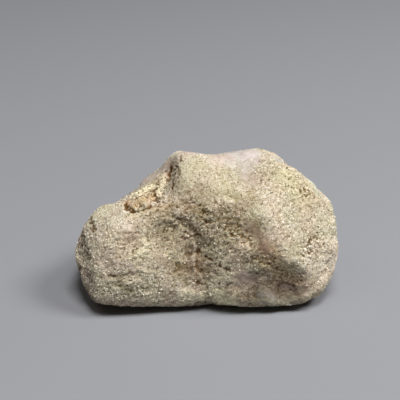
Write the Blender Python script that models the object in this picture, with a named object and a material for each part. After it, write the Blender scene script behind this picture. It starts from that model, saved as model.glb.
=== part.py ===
"""Rough opal: one worn nodule with a sandy rind, resting on a small flat spot.

The stone is a block with its corners knocked off by flat breaks (facets), creased where two breaks
meet inwards, scooped by a few hollows and swollen by a few lumps. A fine sphere of points is drawn
in along its own rays onto that shape, roughened, and flattened where it touches what it rests on.
+X is the stone's long way, -Y its best side and +Z up. The origin is under the middle of its box,
on the surface that it rests on. Sizes are in millimetres until the mesh is finished.
"""

import math

import bmesh
import bpy
import numpy as np
from mathutils import Vector, noise

NAME = "rough_opal"
MM = 0.001

# Driving dimensions.
LENGTH = 46.0
DEPTH = 26.0
HEIGHT = 25.0
HEART = np.array([0.0, 0.0, 11.0])  # a point deep inside that every ray starts from
CELLS = 28  # mesh cells along each side of the starting cube
NEAREST_SKIN = 3.0  # no part of the surface is nearer to the heart than this
FARTHEST_SKIN = 40.0

# Roundness, as the width over which one break turns into the next.
WORN_EDGE = 0.7
STEP_EDGE = 0.6

# Unevenness of the worn skin: how far it moves in or out, and the spacing of its bumps.
UNEVENNESS = ((0.30, 6.5), (0.16, 3.0))

# The rind's look.
RIND_COLOUR = (0.55, 0.47, 0.35, 1.0)
RIND_ROUGHNESS = 0.9


def direction(bearing, slope):
    """The unit vector at a compass bearing from +X towards +Y, and a slope above level."""
    b, s = math.radians(bearing), math.radians(slope)
    return np.array([math.cos(s) * math.cos(b), math.cos(s) * math.sin(b), math.sin(s)])


# Each flat break: which way it faces (bearing, slope), and how far it lies from the heart.
FACETS = {
    "sole": (0, -90, 11.9),
    "sole_left": (180, -85, 12.2),
    "sole_right": (-10, -85, 12.2),
    "brow": (-92, 54, 11.6),
    "front_foot": (-90, -62, 14.25),
    "crown": (80, 84, 14.1),
    "back": (86, 6, 12.9),
    "back_brow": (97, 48, 13.4),
    "back_foot": (90, -38, 13.4),
    "right_face": (-52, 30, 15.8),
    "right_cheek": (-40, -5, 20.8),
    "right_shoulder": (28, 45, 17.25),
    "right_upper": (4, 10, 22.5),
    "right_end": (-5, -2, 23.7),
    "right_heel": (-8, -16, 24.1),
    "right_foot": (-31, -48, 21.3),
    "right_back": (45, 12, 18.5),
    "right_back_foot": (40, -42, 18.6),
    "left_front": (-100, 22, 12.6),
    "left_brow": (-125, 50, 13.2),
    "left_cheek": (-155, 5, 22.0),
    "left_upper": (162, 34, 17.1),
    "left_end": (176, 9, 22.9),
    "left_heel": (191, -22, 24.3),
    "left_sole": (-119, -62, 17.5),
    "left_back": (135, 10, 18.0),
    "left_back_top": (140, 45, 15.2),
    "left_back_foot": (140, -40, 18.8),
}

# Inner corners, each where two breaks meet in a crease: a ledge and its riser, a valley's sides.
CREASES = {
    "left_ledge": ((168, 61, 10.3), (188, 15, 8.6)),
    "front_valley": ((-79, 4, 9.6), (-104, -2, 10.0)),
    "back_valley": ((70, 2, 12.0), (112, 10, 11.0)),
}

# Hollows and lumps: a rounded rod from, to, its radius, and how softly it blends in.
HOLLOWS = {
    "centre_dish": ((-5.0, -16.2, 19.2), (3.0, -16.8, 18.6), 8.2, 0.8),
    "curl_top": ((-8.4, -11.6, 16.6), (-3.8, -10.6, 16.0), 2.2, 0.5),
    "curl_side": ((-3.2, -10.7, 15.6), (-2.0, -10.7, 11.2), 1.9, 0.5),
    "curl_foot": ((-2.0, -10.7, 11.2), (-5.0, -12.1, 8.4), 1.9, 0.5),
    "ridge_top": ((5.2, -11.6, 16.2), (8.0, -11.8, 15.8), 2.2, 0.5),
    "ridge_groove": ((9.4, -13.6, 14.0), (12.0, -14.6, 9.4), 3.0, 0.5),
    "deep_hollow": ((13.0, -14.3, 6.6), (14.2, -14.3, 5.4), 4.4, 0.4),
    "top_dip": ((2.0, -4.0, 32.9), (1.0, 10.0, 33.6), 9.0, 1.0),
    "opal_scoop": ((5.4, -4.8, 30.4), (6.4, -4.8, 30.4), 9.0, 0.5),
    "left_dent": ((-14.2, -13.0, 13.8), (-13.0, -13.0, 13.8), 2.4, 0.5),
    "flute_pocket": ((-7.2, 3.2, 20.8), (-7.6, 1.0, 19.6), 1.1, 0.3),
    "ledge_crease": ((-9.0, -3.4, 18.6), (-9.2, 0.6, 20.0), 1.0, 0.3),
    "ledge_pit": ((-13.2, -1.2, 17.8), (-13.2, -0.4, 18.4), 1.2, 0.3),
    "back_scoop": ((-9.0, 17.6, 13.0), (-4.0, 18.4, 9.0), 7.0, 0.8),
    "back_chip": ((12.0, 13.8, 16.4), (14.5, 13.0, 12.4), 4.4, 0.5),
    "sole_hollow": ((9.0, 1.0, -5.6), (14.0, -1.0, -5.2), 6.2, 0.5),
}
LUMPS = {
    "left_bulge": ((-13.5, -5.2, 10.2), (-9.5, -5.4, 10.2), 6.0, 1.0),
    "shoulder": ((-18.4, -3.0, 12.0), (-17.6, 0.0, 12.0), 2.8, 1.2),
    "ledge_lump": ((-11.6, -0.6, 15.0), (-10.4, 2.0, 15.6), 2.2, 0.8),
    "knob": ((-9.6, 5.0, 16.5), (-7.0, 6.0, 17.6), 2.2, 0.8),
    "crest": ((8.4, 2.6, 21.0), (10.0, 2.8, 20.8), 3.1, 0.6),
    "back_knuckle": ((6.0, 7.0, 9.0), (10.0, 7.4, 7.0), 5.4, 0.9),
}


def smooth_most(values, width):
    """The largest of several values, blended where they are within about width of each other."""
    values = np.array(values)
    most = values.max(axis=0)
    return most + width * np.log(np.exp((values - most) / width).sum(axis=0))


def smooth_least(values, width):
    """The smallest of several values, blended in the same way."""
    return -smooth_most([-value for value in values], width)


def outside_facet(points, bearing, slope, reach):
    """How far points lie outside one flat break."""
    return (points - HEART) @ direction(bearing, slope) - reach


def outside_rod(points, start, end, radius):
    """How far points lie outside a rod with round ends."""
    start, end = np.array(start), np.array(end)
    along = end - start
    share = np.clip((points - start) @ along / (along @ along), 0, 1)
    return np.linalg.norm(points - start - share[:, None] * along, axis=1) - radius


def outside_stone(points):
    """How far points lie outside the stone, less than 0 inside."""
    sides = [outside_facet(points, *facet) for facet in FACETS.values()]
    for first, second in CREASES.values():
        pair = [outside_facet(points, *first), outside_facet(points, *second)]
        sides.append(smooth_least(pair, STEP_EDGE))
    gap = smooth_most(sides, WORN_EDGE)
    for *lump, softness in LUMPS.values():
        gap = smooth_least([gap, outside_rod(points, *lump)], softness)
    for *hollow, softness in HOLLOWS.values():
        gap = smooth_most([gap, -outside_rod(points, *hollow)], softness)
    return gap


def on_surface(rays):
    """Where rays from the heart leave the stone, found by halving."""
    near = np.full(len(rays), NEAREST_SKIN)
    far = np.full(len(rays), FARTHEST_SKIN)
    for _ in range(30):
        middle = (near + far) / 2
        outside = outside_stone(HEART + rays * middle[:, None]) > 0
        far = np.where(outside, middle, far)
        near = np.where(outside, near, middle)
    return HEART + rays * far[:, None]


def unevenness(place):
    """How far the worn skin stands in or out at one place."""
    return sum(height * noise.noise(Vector(place) / spacing) for height, spacing in UNEVENNESS)


def ball_rays(shape):
    """One ray for each point of a cube, evened out over a ball of the stone's proportions."""
    corners = np.tan(np.array([v.co for v in shape.verts]) * math.pi / 4)
    ball = corners / np.linalg.norm(corners, axis=1)[:, None]
    rays = ball * np.array([LENGTH, DEPTH, HEIGHT])
    return rays / np.linalg.norm(rays, axis=1)[:, None]


def skin(rays):
    """The roughened surface, centred over the origin and cut flat where it rests."""
    places = on_surface(rays)
    places += rays * np.array([unevenness(place) for place in places])[:, None]
    places[:, 2] = np.maximum(places[:, 2], 0.0)
    middle = (places.max(axis=0) + places.min(axis=0)) / 2
    places[:, :2] -= middle[:2]
    return places


def rind_material():
    rind = bpy.data.materials.new("sandy_rind")
    rind.use_nodes = True
    shader = rind.node_tree.nodes["Principled BSDF"]
    shader.inputs["Base Color"].default_value = RIND_COLOUR
    shader.inputs["Roughness"].default_value = RIND_ROUGHNESS
    shader.inputs["Metallic"].default_value = 0.0
    return rind


def make_stone(collection):
    shape = bmesh.new()
    bmesh.ops.create_cube(shape, size=2.0)
    bmesh.ops.subdivide_edges(shape, edges=shape.edges[:], cuts=CELLS - 1, use_grid_fill=True)
    for vertex, place in zip(shape.verts, skin(ball_rays(shape))):
        vertex.co = Vector(place * MM)
    bmesh.ops.triangulate(shape, faces=shape.faces[:])
    bmesh.ops.recalc_face_normals(shape, faces=shape.faces[:])
    mesh = bpy.data.meshes.new(NAME)
    shape.to_mesh(mesh)
    shape.free()
    mesh.shade_smooth()
    mesh.materials.append(rind_material())
    collection.objects.link(bpy.data.objects.new(NAME, mesh))


for old in list(bpy.data.objects):
    bpy.data.objects.remove(old)
opal = bpy.data.collections.new(NAME)
bpy.context.scene.collection.children.link(opal)
make_stone(opal)
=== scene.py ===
# %% [markdown]
# # A rough opal nodule
# This lesson finishes one stone: a small nodule of rough opal, still in its weathered rind.
# The rind is a crust of sand grains, sugary to look at and pitted all over. Where it has worn
# through, smooth milky opal shows, and iron has stained the deepest hollows brown.
# The stone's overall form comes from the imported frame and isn't changed here. What is made here
# is its skin: a fine mesh with real relief, and the grains that stand on it.

# %% Load the frame
import math

import bmesh
import bpy
import numpy as np
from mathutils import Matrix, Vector, noise
from mathutils.bvhtree import BVHTree


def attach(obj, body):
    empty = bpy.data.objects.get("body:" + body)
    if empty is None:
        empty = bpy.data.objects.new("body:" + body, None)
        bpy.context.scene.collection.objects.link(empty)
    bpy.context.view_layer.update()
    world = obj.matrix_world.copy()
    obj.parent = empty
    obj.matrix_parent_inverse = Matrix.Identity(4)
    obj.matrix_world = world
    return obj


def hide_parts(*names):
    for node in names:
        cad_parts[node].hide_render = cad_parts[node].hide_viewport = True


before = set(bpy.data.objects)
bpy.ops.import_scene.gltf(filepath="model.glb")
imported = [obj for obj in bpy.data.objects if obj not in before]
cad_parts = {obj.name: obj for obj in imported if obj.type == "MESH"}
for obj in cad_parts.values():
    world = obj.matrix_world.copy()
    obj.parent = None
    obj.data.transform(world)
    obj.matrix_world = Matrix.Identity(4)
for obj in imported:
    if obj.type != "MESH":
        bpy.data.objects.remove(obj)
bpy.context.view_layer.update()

MM = 0.001
NODE = "rough_opal"

# %% [markdown]
# ## Colours
# Colours are easiest to judge as sRGB hex values, but lamps and shaders work on linear ones.
# Blender's colour picker turns a typed hex value by itself. A script has to do it, so one function
# does.

# %% Turn a hex colour into a linear one


def linear(hex_colour):
    """The linear RGBA colour of an sRGB hex value."""
    parts = [int(hex_colour[i:i + 2], 16) / 255 for i in (1, 3, 5)]
    return tuple(p / 12.92 if p <= 0.04045 else ((p + 0.055) / 1.055) ** 2.4 for p in parts) + (1.0,)


print("mid grey is", round(linear("#808080")[0], 3), "in linear colour")

# %% [markdown]
# ## Camera
# The stone is seen from a little above, through a long lens, so that it looks as it does on a
# bench: near, but hardly stretched by perspective. A camera could be framed by eye, but here it is
# placed by an angle, a distance and the point that it aims at, so that each can be read and changed.

# %% Make the camera
LOOK_DOWN = math.radians(25)
CAMERA_DISTANCE = 194.6 * MM
AIM = Vector((-1.14, 0.0, 16.2)) * MM
LENS = 100.0
SENSOR = 36.0
PICTURE = 400  # the picture is this many pixels wide and high

to_camera = Vector((0, -math.cos(LOOK_DOWN), math.sin(LOOK_DOWN)))
camera = bpy.data.objects.new("camera", bpy.data.cameras.new("camera"))
bpy.context.scene.collection.objects.link(camera)
bpy.context.scene.camera = camera
camera.data.lens = LENS
camera.data.sensor_width = SENSOR
camera.data.clip_start = MM
camera.location = AIM + to_camera * CAMERA_DISTANCE
camera.rotation_euler = (-to_camera).to_track_quat("-Z", "Y").to_euler()
print("camera at", [round(c / MM) for c in camera.location], "mm")

# %% [markdown]
# ## Floor
# The stone lies on grey backdrop paper, which is matt and so shows a soft shadow and no
# reflection. A flat square does for it, far wider than the picture: a sheet that curves up behind
# is only needed where a horizon would show.

# %% Make the floor
FLOOR_SIZE = 6.0
PAPER_GREY = "#85868a"
PAPER_ROUGHNESS = 0.9

half = FLOOR_SIZE / 2
corners = [(-half, -half, 0), (half, -half, 0), (half, half, 0), (-half, half, 0)]
floor_mesh = bpy.data.meshes.new("floor")
floor_mesh.from_pydata(corners, [], [(0, 1, 2, 3)])
floor = bpy.data.objects.new("floor", floor_mesh)
bpy.context.scene.collection.objects.link(floor)
paper = bpy.data.materials.new("grey_backdrop_paper")
paper.use_nodes = True
paper_shader = paper.node_tree.nodes["Principled BSDF"]
paper_shader.inputs["Base Color"].default_value = linear(PAPER_GREY)
paper_shader.inputs["Roughness"].default_value = PAPER_ROUGHNESS
floor_mesh.materials.append(paper)
print("floor:", FLOOR_SIZE, "m wide")

# %% [markdown]
# ## Light
# Three soft lamps: one almost overhead, which puts the shadow right under the stone, one on the
# right, and a much weaker one on the left. They are soft because a sandy skin under a hard light
# is all specks. The world adds a faint, slightly warm fill, so that the hollows stay dark but keep
# their colour. A picture of a sky would light the stone as softly, but lamps can be moved one by
# one.

# %% Make the lamps and the fill
LAMPS = {  # bearing from +X and height, in degrees, distance and width in metres, power in watts
    "overhead_softbox": (-64, 74, 0.60, 0.24, 3.55),
    "right_softbox": (-8, 50, 0.60, 0.20, 2.7),
    "left_softbox": (200, 58, 0.60, 0.24, 0.25),
}
FILL_COLOUR = "#ffefd8"
FILL_STRENGTH = 0.05


def add_lamp(name, bearing, height, distance, width, power):
    """A square softbox aimed at the stone."""
    lamp = bpy.data.objects.new(name, bpy.data.lights.new(name, "AREA"))
    bpy.context.scene.collection.objects.link(lamp)
    lamp.data.size = width
    lamp.data.energy = power
    b, h = math.radians(bearing), math.radians(height)
    towards = Vector((math.cos(h) * math.cos(b), math.cos(h) * math.sin(b), math.sin(h)))
    lamp.location = AIM + distance * towards
    lamp.rotation_euler = (AIM - lamp.location).to_track_quat("-Z", "Y").to_euler()


for name, lamp in LAMPS.items():
    add_lamp(name, *lamp)
world = bpy.data.worlds.new("fill")
bpy.context.scene.world = world
world.use_nodes = True
background = world.node_tree.nodes["Background"]
background.inputs["Color"].default_value = linear(FILL_COLOUR)
background.inputs["Strength"].default_value = FILL_STRENGTH
bpy.context.scene.view_settings.view_transform = "Standard"
print(len(LAMPS), "softboxes")

# %% [markdown]
# ## The skin as a fine mesh
# The frame's solid has facets about a millimetre long, far coarser than sand. A merged copy of it
# is remeshed into small even cells, and then relaxed until the facets are gone. Remeshing is
# chosen over subdividing because its cells come out alike all over the stone, so that relief looks
# the same on every side.

# %% Remesh and relax a copy of the solid
SAME_PLACE = 0.001 * MM
CELL = 0.228 * MM  # about the finest that keeps the skin under 200,000 triangles
RELAXING = 14  # rounds, enough to melt facets 1 mm long
RELAX_STEP = 0.5  # how far a point goes towards its neighbours in each round


def apply_modifiers(thing):
    """Makes what the modifiers show the object's own mesh, and removes them."""
    seen = thing.evaluated_get(bpy.context.evaluated_depsgraph_get())
    thing.data = bpy.data.meshes.new_from_object(seen)
    thing.modifiers.clear()


solid = bmesh.new()
solid.from_mesh(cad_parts[NODE].data)
bmesh.ops.remove_doubles(solid, verts=solid.verts, dist=SAME_PLACE)
skin_mesh = bpy.data.meshes.new("opal_nodule")
solid.to_mesh(skin_mesh)
solid.free()
nodule = bpy.data.objects.new("opal_nodule", skin_mesh)
bpy.context.scene.collection.objects.link(nodule)
remesh = nodule.modifiers.new("even_cells", "REMESH")
remesh.mode = "VOXEL"
remesh.voxel_size = CELL
relax = nodule.modifiers.new("relax", "SMOOTH")
relax.factor = RELAX_STEP
relax.iterations = RELAXING
apply_modifiers(nodule)
print("skin:", len(nodule.data.polygons), "faces")

# %% [markdown]
# ## A map for textures
# The skin's finish needs no flat map, but one is useful to anyone who bakes it into an image. A
# stone has no natural seams to mark by hand, so a smart projection cuts it wherever it turns
# sharply. That is done now, while the skin is smooth: once it is rough, every lump of sand would
# start an island of its own.

# %% Unwrap the smooth skin
SEAM_ANGLE = math.radians(60)
ISLAND_GAP = 0.004  # of the map's width

nodule.data.uv_layers.new(name="OFBake")
bpy.ops.object.select_all(action="DESELECT")
nodule.select_set(True)
bpy.context.view_layer.objects.active = nodule
bpy.ops.object.mode_set(mode="EDIT")
bpy.ops.mesh.select_all(action="SELECT")
bpy.ops.uv.smart_project(angle_limit=SEAM_ANGLE, island_margin=ISLAND_GAP)
bpy.ops.object.mode_set(mode="OBJECT")
print("map:", nodule.data.uv_layers[0].name)

# %% [markdown]
# ## Where the skin's features lie
# Each pocket, groove and bare patch is placed by the column and row where the camera sees it, or,
# on the far side, by a rough place in millimetres. The place is then looked up on the skin itself,
# so a feature sits on the stone from any side. Modelling each one by hand would work as well, but
# a list is easier to read, to move and to add to.

# %% Look up places on the skin
FRONT_MIDDLE = (200, 230)  # the column and row of the middle of the stone's front


def points_of(mesh):
    """The mesh's points as an array."""
    found = np.empty(len(mesh.vertices) * 3)
    mesh.vertices.foreach_get("co", found)
    return found.reshape(-1, 3)


def normals_of(mesh):
    """The direction that the skin faces at each point."""
    found = np.empty(len(mesh.vertices) * 3)
    mesh.vertices.foreach_get("normal", found)
    return found.reshape(-1, 3)


smooth_points = points_of(nodule.data)
smooth_normals = normals_of(nodule.data)
skin_faces = [tuple(face.vertices) for face in nodule.data.polygons]
skin_tree = BVHTree.FromPolygons(smooth_points.tolist(), skin_faces)


def skin_point(mark):
    """The skin at a mark: what the camera sees at a column and row, or the nearest to x, y, z in mm."""
    if len(mark) == 3:
        return np.array(skin_tree.find_nearest(Vector(mark) * MM)[0])
    across = (mark[0] - PICTURE / 2) / PICTURE * SENSOR / LENS
    up = (PICTURE / 2 - mark[1]) / PICTURE * SENSOR / LENS
    ahead = (camera.rotation_euler.to_matrix() @ Vector((across, up, -1))).normalized()
    hit = skin_tree.ray_cast(camera.location, ahead)[0]
    if hit is None:  # just off the outline: the nearest skin to the line of sight
        beside = camera.location + ahead * (AIM - camera.location).dot(ahead)
        hit = skin_tree.find_nearest(beside)[0]
    return np.array(hit)


print("the middle of the front is at", (skin_point(FRONT_MIDDLE) / MM).round(1), "mm")

# %% [markdown]
# Nothing on a weathered stone has a clean edge. So features fade out softly, and the distance to
# each is made a little longer or shorter from place to place by smooth random values, one slow
# and one quick, which leaves its edge ragged.

# %% Fade features out, with ragged edges
SHORTEST = 1e-12  # square metres, so that two marks at one place don't divide by zero
SPREAD = 1.5  # a feature has faded out at this many half-widths
RAGGED_SPACING = 1.1  # mm
FRAYED_SPACING = 0.45  # mm
WAVINESS = (0.8, 2.0, 3)  # how smooth, how much finer each layer is than the last, how many layers


def distance_to(marks):
    """How far, in millimetres, each point of the skin is from a line through some marks."""
    found = [skin_point(mark) for mark in marks]
    nearest = np.linalg.norm(smooth_points - found[0], axis=1)
    for start, end in zip(found, found[1:]):
        along = end - start
        share = np.clip((smooth_points - start) @ along / max(along @ along, SHORTEST), 0, 1)
        beside = smooth_points - start - share[:, None] * along
        nearest = np.minimum(nearest, np.linalg.norm(beside, axis=1))
    return nearest / MM


def fade(distance, width):
    """1 in the middle and 0 from the width outwards, with a soft shoulder at both ends."""
    t = np.clip(1 - np.maximum(distance, 0) / width, 0, 1)
    return t * t * (3 - 2 * t)


def waviness(spacing_mm):
    """A smooth random value at each point."""
    return np.array([noise.fractal(Vector(p) / (spacing_mm * MM), *WAVINESS) for p in smooth_points])


ragged = waviness(RAGGED_SPACING)
frayed = waviness(FRAYED_SPACING)
print("edges wander by up to", round(np.abs(ragged).max(), 1), "mm times their raggedness")

# %% [markdown]
# ## Paint and depth
# Two things are kept for each point of the skin: how deep it is cut, and what colour it is stained.
# Stains are laid over each other like washes of paint, each with its own strength. They are kept on
# the mesh's points, and not in an image, because the points are finer than the stains and have no
# seams.

# %% Start the depth and the paint
BARELY = 1e-9  # so that unpainted skin doesn't divide by zero

depth = np.zeros(len(smooth_points))  # mm, less than 0 where the skin is swollen
paint = np.zeros((len(smooth_points), 3))
cover = np.zeros(len(smooth_points))  # how far the paint hides the sand's own colour


def wash(weight, hex_colour):
    """Lays a colour over the paint, as strongly as the weight says."""
    colour = np.array(linear(hex_colour)[:3])
    under = cover * (1 - weight)
    total = np.maximum(under + weight, BARELY)
    paint[:] = (paint * under[:, None] + colour * weight[:, None]) / total[:, None]
    cover[:] = under + weight


print("depth and paint for", len(depth), "points")

# %% [markdown]
# ## Broad form
# Weathering leaves broad dishes and swells between the breaks. They could be sculpted with a
# brush, but then there would be nothing to read or to change later, so they are listed. Each has
# its marks, a half-width and a depth in millimetres, less than 0 for a swell.

# %% Shape the dishes and swells
BROAD_SPREAD = 1.6  # these fade out a little more slowly than the rest
BROAD = {
    "top_plateau": ([(1, 6, 23), (5, 7, 23)], 3.4, 0.5),
    "left_foot": ([(98, 305), (116, 307)], 0.9, 0.5),
    "top_right_trim": ([(264, 151), (276, 156)], 2.2, 0.5),
    "right_slope": ([(293, 170), (306, 179), (315, 186)], 1.2, -0.4),
    "right_flank": ([(334, 248), (331, 268), (319, 290)], 1.8, -0.7),
    "left_flank": ([(80, 232), (78, 250)], 1.6, -0.35),
    "right_shoulder_trim": ([(322, 190), (332, 212)], 1.4, 0.5),
    "top_left_corner": ([(169, 160), (175, 155)], 1.5, -0.5),
    "brow_dish": ([(172, 206), (214, 206)], 3.2, 0.6),
    "lobe_dish": ([(152, 238), (160, 240)], 4.2, 1.2),
    "left_cheek": ([(80, 262), (84, 278)], 2.2, -0.6),
    "left_heel": ([(81, 277), (86, 287), (93, 298)], 1.4, -0.35),
    "lobe_belly": ([(116, 284), (150, 286)], 3.6, -0.3),
    "middle_belly": ([(206, 284), (234, 284)], 3.0, -0.2),
    "left_knuckle": ([(184, 293), (196, 294)], 1.6, -0.6),
    "right_knuckle": ([(220, 295), (242, 298)], 1.8, -0.6),
    "valley_fill": ([(197, 246), (204, 250), (198, 258)], 1.3, -0.6),
    "curl_fill": ([(164, 217), (178, 215), (192, 220)], 1.6, -0.5),
    "centre_fill": ([(214, 216), (232, 230), (240, 250), (234, 270), (226, 288)], 3.2, -0.7),
    "ridge_crest": ([(256, 219), (264, 233), (269, 246), (280, 254)], 1.9, -0.5),
    "streak_fill": ([(250, 227), (257, 233), (263, 243), (266, 252)], 1.4, -0.4),
    "hollow_side": ([(259, 280), (262, 294)], 1.8, 0.5),
    "hollow_rim": ([(286, 262), (298, 270), (307, 280)], 1.5, -0.5),
    "hollow_fill": ([(280, 272), (296, 286)], 2.2, -0.6),
    "right_heel": ([(318, 286), (308, 296)], 1.6, -0.4),
    "foot_notch": ([(199, 305), (206, 305), (212, 305)], 0.7, 1.2),
}
for marks, half_width, deep in BROAD.values():
    depth += deep * fade(distance_to(marks), half_width * BROAD_SPREAD)
print("broad forms:", ", ".join(BROAD))

# %% [markdown]
# ## Stains, painted shade and painted light
# Iron-rich water has left yellow, rust and brown in broad soft patches. Each has its marks, a
# half-width in millimetres, a colour and a strength. Noise in a material would give such patches
# too, but none could then be put in a chosen place. Many of the small ones aren't marks that can be
# made out on the stone: they only make a spot darker or lighter as a whole, so they are painted
# shade and painted light, and they stay on the stone in any light. Each is marked so below.

# %% Lay the stains, painted shade and painted light
STAIN_RAGGEDNESS = 0.8
STAINS = {
    # a yellow stain, also darkened as a whole, so it is partly painted shade
    "yellow_shoulder_and_painted_shade": ([(285, 176), (300, 188), (306, 198)], 4.0, "#b5a87e", 0.5),
    "yellow_ledge": ([(140, 198), (160, 184)], 3.0, "#d3c294", 0.4),
    # darkens the middle of the front as a whole
    "darker_centre": ([(195, 210), (215, 217), (240, 224), (250, 246)], 4.0, "#907b57", 0.5),
    # painted shade: each of the next three lines darkens its spot as a whole
    "centre_boss_painted_shade": ([(226, 230), (240, 234)], 1.5, "#726445", 0.4),
    "hollow_head_painted_shade": ([(257, 256), (262, 262), (267, 268)], 1.4, "#5f5139", 0.8),
    "hollow_brow": ([(270, 248), (278, 255), (288, 261)], 1.0, "#8d7f66", 0.3),
    "left_rim_dark": ([(78, 234), (77, 250)], 0.6, "#61502f", 0.6),
    # painted shade: each of the next six lines darkens its spot as a whole
    "slit_painted_shade": ([(286, 240), (300, 244), (285, 256)], 1.6, "#a3957a", 0.5),
    "right_slit_painted_shade": ([(306, 238), (318, 234)], 1.2, "#a39a76", 0.4),
    "centre_painted_shade": ([(205, 213), (222, 219), (234, 219), (248, 223)], 1.3, "#6f5f43", 0.55),
    "lobe_top_painted_shade": ([(112, 225), (122, 231)], 1.2, "#b09f80", 0.45),
    "belly_painted_shade": ([(118, 254), (127, 254)], 1.2, "#a8987a", 0.4),
    "inner_painted_shade": ([(172, 240), (180, 248)], 1.3, "#7b6a49", 0.4),
    # painted light: each of the next three lines lightens its spot as a whole
    "pale_hem": ([(130, 280), (144, 286), (152, 298)], 1.6, "#f2e2c8", 0.45),
    "curl_knob_painted_light": ([(198, 276), (204, 280)], 1.0, "#cdbb95", 0.4),
    "pale_face": ([(283, 208), (312, 214)], 2.6, "#e2d7bb", 0.15),
    # painted shade: this line darkens its spot as a whole
    "upper_painted_shade": ([(200, 208), (236, 206), (238, 232)], 1.4, "#847052", 0.4),
    # painted light: each of the next two lines lightens its spot as a whole
    "pale_lobe": ([(98, 246), (104, 268), (136, 284), (146, 262), (166, 260)], 1.6, "#dccfb1", 0.2),
    "ridge_painted_light": ([(248, 218), (254, 240)], 1.5, "#e6d9ba", 0.55),
    # painted shade: each of the next three lines darkens its spot as a whole
    "curl_roof_painted_shade": ([(188, 210), (202, 216)], 1.0, "#7e6e4b", 0.5),
    "lobe_inner_painted_shade": ([(164, 232), (178, 246)], 1.6, "#88795f", 0.6),
    "brow_veil_painted_shade": ([(192, 168), (225, 176), (232, 182)], 4.5, "#a89b80", 0.42),
    "rusty_foot": ([(196, 262), (200, 284)], 2.0, "#8a6c4f", 0.3),
    "brown_shadow": ([(172, 173), (173, 186)], 0.9, "#887852", 0.45),
    "fluted_face": ([(177, 160), (178, 184)], 0.7, "#a3957c", 0.6),
    # painted shade: each of the next four lines darkens its spot as a whole
    "lobe_shade": ([(156, 228), (180, 238), (164, 256)], 3.2, "#908067", 0.5),
    "lobe_foot_shade": ([(174, 268), (184, 277)], 1.7, "#847354", 0.7),
    "foot_painted_shade": ([(228, 290), (242, 296), (260, 292), (276, 295)], 1.9, "#705d3d", 0.7),
    "right_heel_shade": ([(300, 296), (318, 288)], 1.2, "#8f8066", 0.5),
    # painted light: each of the next three lines lightens its spot as a whole
    "right_flank_painted_light": ([(322, 270), (330, 263), (335, 256)], 2.1, "#fff3da", 0.8),
    "band_painted_light": ([(106, 238), (122, 243)], 1.0, "#e2d5b6", 0.5),
    "pale_curl_foot": ([(172, 256), (184, 262)], 1.0, "#dccdab", 0.5),
    # painted shade: each of the next six lines darkens its spot as a whole
    "heel_painted_shade": ([(81, 270), (86, 286), (94, 299)], 1.1, "#705c36", 0.75),
    "under_lip": ([(148, 209), (160, 208), (172, 206), (166, 214)], 1.5, "#7e6e4a", 0.75),
    "brow_shade": ([(178, 186), (196, 191), (214, 193), (236, 199), (250, 200)], 1.8, "#978a6b", 0.5),
    "tail_painted_shade": ([(251, 192), (255, 222)], 1.1, "#998b67", 0.5),
    "valley_side_painted_shade": ([(200, 262), (212, 260), (206, 272)], 1.3, "#786545", 0.6),
    "olive_valley_painted_shade": ([(200, 224), (206, 234), (208, 242)], 1.8, "#957d54", 0.25),
    # painted light: each of the next two lines lightens its spot as a whole
    "valley_painted_light": ([(186, 250), (198, 252), (210, 254), (222, 246), (236, 242)], 1.2, "#dccfae", 0.6),
    "ridge_flank_painted_light": ([(273, 236), (278, 241)], 1.2, "#fff4de", 0.2),
    # painted shade: each of the next three lines darkens its spot as a whole
    "ridge_foot_painted_shade": ([(262, 248), (270, 253)], 1.4, "#7d6b4c", 0.55),
    "lobe_boss_painted_shade": ([(119, 281), (127, 286)], 1.2, "#8b7d61", 0.5),
    "sill_painted_shade": ([(232, 291), (244, 293)], 1.2, "#77674a", 0.6),
    "pale_patch": ([(116, 220), (126, 226)], 1.3, "#ece4d3", 0.4),
    # painted light: each of the next seven lines lightens its spot as a whole
    "foot_painted_light": ([(182, 298), (200, 297), (214, 290), (222, 298), (234, 301)], 1.5, "#f8efce", 0.8),
    "heel_painted_light": ([(97, 272), (105, 272)], 1.1, "#fff2d8", 0.5),
    "pale_flank_left": ([(86, 247), (94, 257)], 1.5, "#f8edd4", 0.35),
    "hip_painted_light": ([(218, 280), (226, 264), (240, 274), (236, 286)], 1.9, "#efe2c4", 0.55),
    "warm_rim_painted_light": ([(78, 244), (80, 258), (88, 266)], 1.4, "#fff4d8", 0.75),
    "warm_hollow_painted_light": ([(272, 258), (280, 270), (298, 286)], 2.6, "#d3b98f", 0.6),
    "pale_curl": ([(150, 222), (164, 219), (180, 225), (190, 231), (192, 248)], 1.3, "#e2d4b4", 0.4),
    "rusty_back": ([(-16, 8, 6), (-6, 11, 5), (2, 12, 9)], 5.0, "#9c7c56", 0.6),
    "yellow_back": ([(8, 10, 20), (16, 6, 16)], 4.5, "#cdb885", 0.5),
    "grey_back": ([(-10, 11, 16), (-2, 12, 18)], 4.0, "#8f8776", 0.45),
    "rusty_right": ([(21, 5, 6), (16, 9, 4)], 4.0, "#8f7350", 0.5),
    "brown_sole": ([(-12, 0, 0), (12, 0, 0)], 7.0, "#7b6b53", 0.5),
}
for marks, half_width, hex_colour, strength in STAINS.values():
    away = distance_to(marks) + ragged * STAIN_RAGGEDNESS
    wash(strength * fade(away, half_width * SPREAD), hex_colour)
print("stains:", ", ".join(STAINS))
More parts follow.
